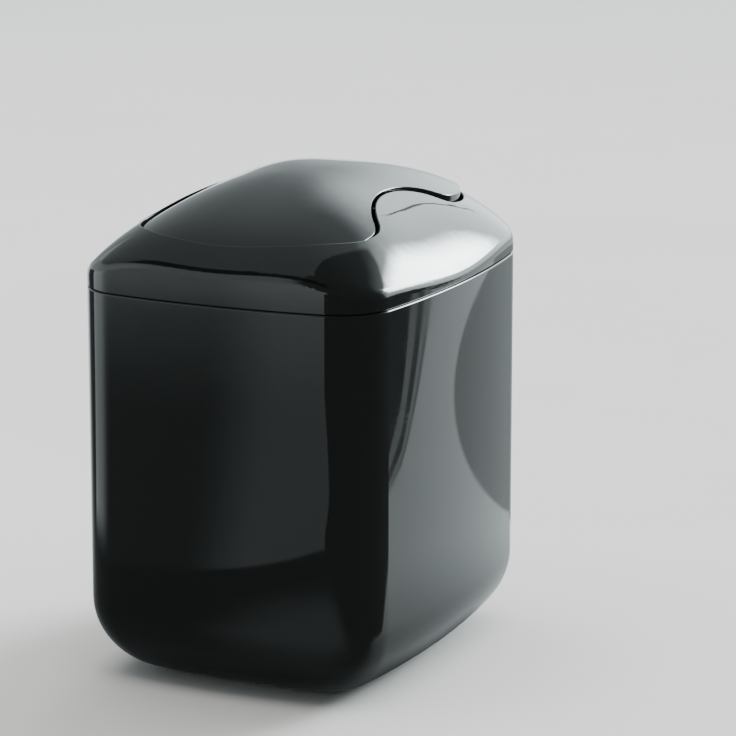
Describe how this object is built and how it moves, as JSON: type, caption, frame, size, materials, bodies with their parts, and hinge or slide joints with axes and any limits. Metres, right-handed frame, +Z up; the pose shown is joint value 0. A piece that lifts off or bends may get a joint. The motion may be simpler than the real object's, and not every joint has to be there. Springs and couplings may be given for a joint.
{
  "type": "countertop bin with swing lid",
  "caption": "Small gloss black countertop waste bin: bowed rectangular tub with round base edges, lift-off domed lid and centre-pivoted swing flap.",
  "frame": {"origin": "middle of the flat base, on the surface that the bin stands on", "axes": "+Z up; the narrow front faces -Y; the long sides, with the flap's pivots, face -X and +X"},
  "size_m": [0.14, 0.166, 0.2009],
  "materials": {
    "gloss_black_shell": "high gloss moulded black",
    "gloss_black_lid": "high gloss moulded black",
    "gloss_black_flap": "high gloss moulded black",
    "pin_steel": "bright drawn steel",
    "weight_steel": "sawn and tumbled bar",
    "screw_steel": "zinc-plated"
  },
  "bodies": {
    "bin": {"tub": "gloss_black_shell"},
    "lid": {"lid_frame": "gloss_black_lid"},
    "flap": {"swing_flap": "gloss_black_flap", "pivot_pin_right": "pin_steel", "pivot_pin_left": "pin_steel", "balance_weight": "weight_steel", "weight_screw_right": "screw_steel", "weight_screw_left": "screw_steel"}
  },
  "joints": [
    {"name": "lid_lift", "type": "slide", "parent": "bin", "child": "lid", "axis": [0, 0, 1], "range_m": [0, 0.06]},
    {"name": "flap_swing", "type": "hinge", "parent": "lid", "child": "flap", "pos_m": [0, 0, 0.1855], "axis": [1, 0, 0], "range_deg": [-80, 80]}
  ]
}
